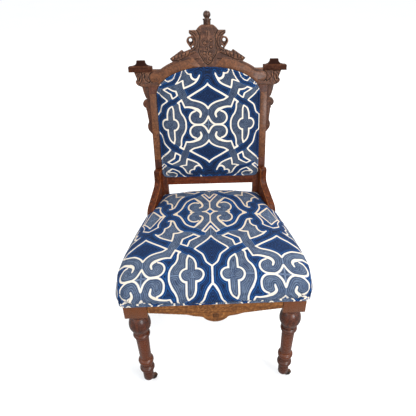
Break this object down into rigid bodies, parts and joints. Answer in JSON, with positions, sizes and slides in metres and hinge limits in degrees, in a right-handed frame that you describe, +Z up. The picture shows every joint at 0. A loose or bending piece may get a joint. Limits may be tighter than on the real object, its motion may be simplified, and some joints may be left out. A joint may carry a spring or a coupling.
{
  "type": "occasional side chair",
  "caption": "Side chair with a carved arched crest, crowned upholstered back panel and seat, turned front legs on casters and raked back legs.",
  "frame": {"origin": "on the floor below the middle of the chair's width and depth", "axes": "+Z up, the chair faces -Y, +X to the right as seen from the front"},
  "size_m": [0.536, 0.556, 1.0093],
  "materials": {
    "walnut": "worn satin polish",
    "dark_walnut": "dark glossy polish",
    "burl": "burl veneer, satin polish",
    "softwood": "unfinished",
    "iron": "dark, lightly worn",
    "wheel_iron": "dark, worn bright on the tread",
    "brass": "aged",
    "cover_fabric": "woven strapwork pattern in navy, slate and cream",
    "welt_fabric": "double welt of the cover fabric",
    "jute": "coarse weave",
    "stuffing": "loose fibre under wadding",
    "lining": "plain close weave"
  },
  "bodies": {
    "frame": {"crest_board": "walnut", "left_crest_veneer": "burl", "right_crest_veneer": "burl", "left_ear_cap": "dark_walnut", "right_ear_cap": "dark_walnut", "crest_finial": "dark_walnut", "crest_dowels": "softwood", "left_back_post": "walnut", "right_back_post": "walnut", "left_post_veneer": "burl", "right_post_veneer": "burl", "left_side_fret": "walnut", "right_side_fret": "walnut", "lower_back_rail": "walnut", "left_hip_bracket": "dark_walnut", "right_hip_bracket": "dark_walnut", "front_seat_rail": "walnut", "left_side_rail": "walnut", "right_side_rail": "walnut", "rear_seat_rail": "walnut", "corner_braces": "softwood", "brace_screws": "iron", "left_front_leg": "dark_walnut", "right_front_leg": "dark_walnut", "seat_webbing": "jute", "seat_hessian": "jute", "seat_stuffing": "stuffing", "seat_cover": "cover_fabric", "seat_welt": "welt_fabric", "dust_cover": "lining", "back_webbing": "jute", "back_stuffing": "stuffing", "back_cover": "cover_fabric", "back_welt": "welt_fabric", "outside_back": "lining", "left_caster_socket": "brass", "right_caster_socket": "brass"},
    "left_caster": {"left_caster_horn": "iron", "left_caster_axle": "iron"},
    "left_wheel": {"left_caster_wheel": "wheel_iron"},
    "right_caster": {"right_caster_horn": "iron", "right_caster_axle": "iron"},
    "right_wheel": {"right_caster_wheel": "wheel_iron"}
  },
  "joints": [
    {"name": "left_caster_swivel", "type": "hinge", "parent": "frame", "child": "left_caster", "pos_m": [-0.214, -0.239, 0.04], "axis": [0, 0, 1], "continuous": true},
    {"name": "left_wheel_roll", "type": "hinge", "parent": "left_caster", "child": "left_wheel", "pos_m": [-0.19986, -0.22486, 0.0105], "axis": [-0.7071, 0.7071, 0], "continuous": true},
    {"name": "right_caster_swivel", "type": "hinge", "parent": "frame", "child": "right_caster", "pos_m": [0.214, -0.239, 0.04], "axis": [0, 0, 1], "continuous": true},
    {"name": "right_wheel_roll", "type": "hinge", "parent": "right_caster", "child": "right_wheel", "pos_m": [0.23302, -0.23282, 0.0105], "axis": [-0.309, 0.9511, 0], "continuous": true}
  ]
}
